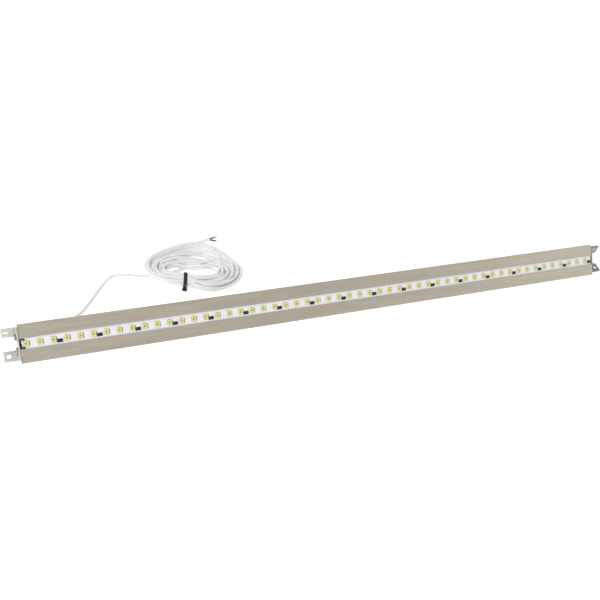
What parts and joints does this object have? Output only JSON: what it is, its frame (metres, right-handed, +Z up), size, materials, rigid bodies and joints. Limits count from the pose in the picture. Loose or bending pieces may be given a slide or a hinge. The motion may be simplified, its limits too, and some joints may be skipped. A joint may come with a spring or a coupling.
{
  "type": "led light bar",
  "caption": "Slim corner-mount light bar: triangular aluminium profile with a recessed LED strip, an eared bracket at each end and a tied coil of thin two-wire supply cable.",
  "frame": {"origin": "under the middle of the bar on the surface it lies on, halfway between the front edge and the back plane, without the free cable", "axes": "+X along the bar away from the cable's end, +Y to the back plane, +Z up from the bottom leg; the lit face looks to -Y and +Z at 45 degrees"},
  "size_m": [0.4724, 0.0891, 0.018],
  "materials": {
    "anodised_aluminium": "brushed lengthwise, satin",
    "white_board": "white solder mask, semi-gloss",
    "adhesive_tape": "matt foam tape",
    "led_body_white": "moulded, matt",
    "phosphor_yellow": "silicone gel over phosphor",
    "tinned_metal": "tinned",
    "resistor_black": "glazed, dark",
    "solder": "solder, slightly dull",
    "wire_red": "PVC insulation",
    "wire_black": "PVC insulation",
    "cable_jacket_white": "smooth PVC jacket",
    "sleeve_black": "heat-shrink, matt",
    "nylon_white": "nylon",
    "grommet_rubber": "moulded rubber",
    "bracket_metal": "bright sheet, light satin",
    "screw_steel": "zinc plated",
    "nylon_black": "nylon, slight sheen"
  },
  "bodies": {
    "root": {"housing_extrusion": "anodised_aluminium", "led_strip_board": "white_board", "strip_adhesive_tape": "adhesive_tape", "led_packages": "led_body_white", "led_phosphor_windows": "phosphor_yellow", "led_terminals": "tinned_metal", "chip_resistors": "resistor_black", "resistor_end_caps": "tinned_metal", "board_end_pads": "tinned_metal", "solder_joints": "solder", "positive_lead": "wire_red", "negative_lead": "wire_black", "inner_cable_run": "cable_jacket_white", "heat_shrink_sleeve": "sleeve_black", "inner_strain_tie": "nylon_white", "cable_grommet": "grommet_rubber", "end_bracket_left": "bracket_metal", "end_bracket_right": "bracket_metal", "end_screws_left": "screw_steel", "end_screws_right": "screw_steel", "supply_cable": "cable_jacket_white", "supply_cable_coil": "cable_jacket_white", "supply_cable_tail": "cable_jacket_white", "cable_tie": "nylon_black", "wire_end_red": "wire_red", "wire_end_black": "wire_black", "tinned_wire_tips": "tinned_metal"}
  },
  "joints": []
}
